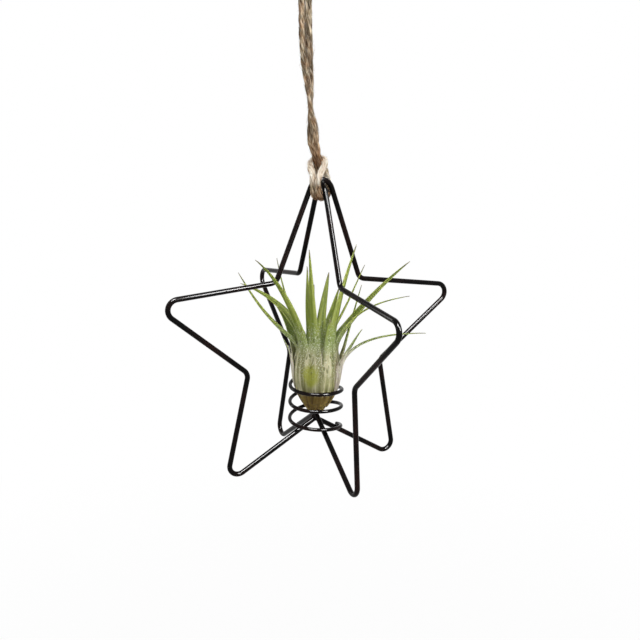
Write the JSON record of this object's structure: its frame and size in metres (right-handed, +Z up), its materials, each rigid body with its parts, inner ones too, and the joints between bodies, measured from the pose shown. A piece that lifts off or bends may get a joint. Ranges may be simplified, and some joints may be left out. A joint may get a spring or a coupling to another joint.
{
  "type": "hanging air plant holder",
  "caption": "Hanging air plant holder: crossed star-shaped wire frames with a coiled wire seat for a small rosette plant, hung from a doubled natural-fibre cord.",
  "frame": {"origin": "the hang point: inside crown of the cord's hanging loop, in the middle of its span", "axes": "+Z up along the hanging cord; +X along the wider star frame's right arm; +Y along the crossing frame's rear arm"},
  "size_m": [0.1492, 0.1492, 0.2702],
  "materials": {
    "black_wire": "gloss",
    "black_weld": "gloss",
    "jute": "matte",
    "bulb_sheath": "matte",
    "leaf_green": "satin"
  },
  "bodies": {
    "hanger": {"hang_loop": "jute", "top_knot": "jute"},
    "rope": {"rope_leg_left": "jute", "rope_leg_right": "jute"},
    "holder": {"apex_hitch": "jute", "star_frame_wide": "black_wire", "star_frame_cross": "black_wire", "plant_coil": "black_wire", "apex_weld": "black_weld", "notch_weld": "black_weld", "coil_weld": "black_weld"},
    "plant": {"plant_bulb": "bulb_sheath", "outer_leaves": "leaf_green", "middle_leaves": "leaf_green", "inner_leaves": "leaf_green"}
  },
  "joints": [
    {"name": "rope_swing", "type": "hinge", "parent": "hanger", "child": "rope", "pos_m": [0, 0, -0.03], "axis": [1, 0, 0], "range_deg": [-30, 30]},
    {"name": "holder_turn", "type": "hinge", "parent": "rope", "child": "holder", "pos_m": [0.0063, 0, -0.11], "axis": [0, 0, 1], "range_deg": [-180, 180]},
    {"name": "plant_lift", "type": "slide", "parent": "holder", "child": "plant", "axis": [0, 0, 1], "range_m": [0, 0.025]}
  ]
}
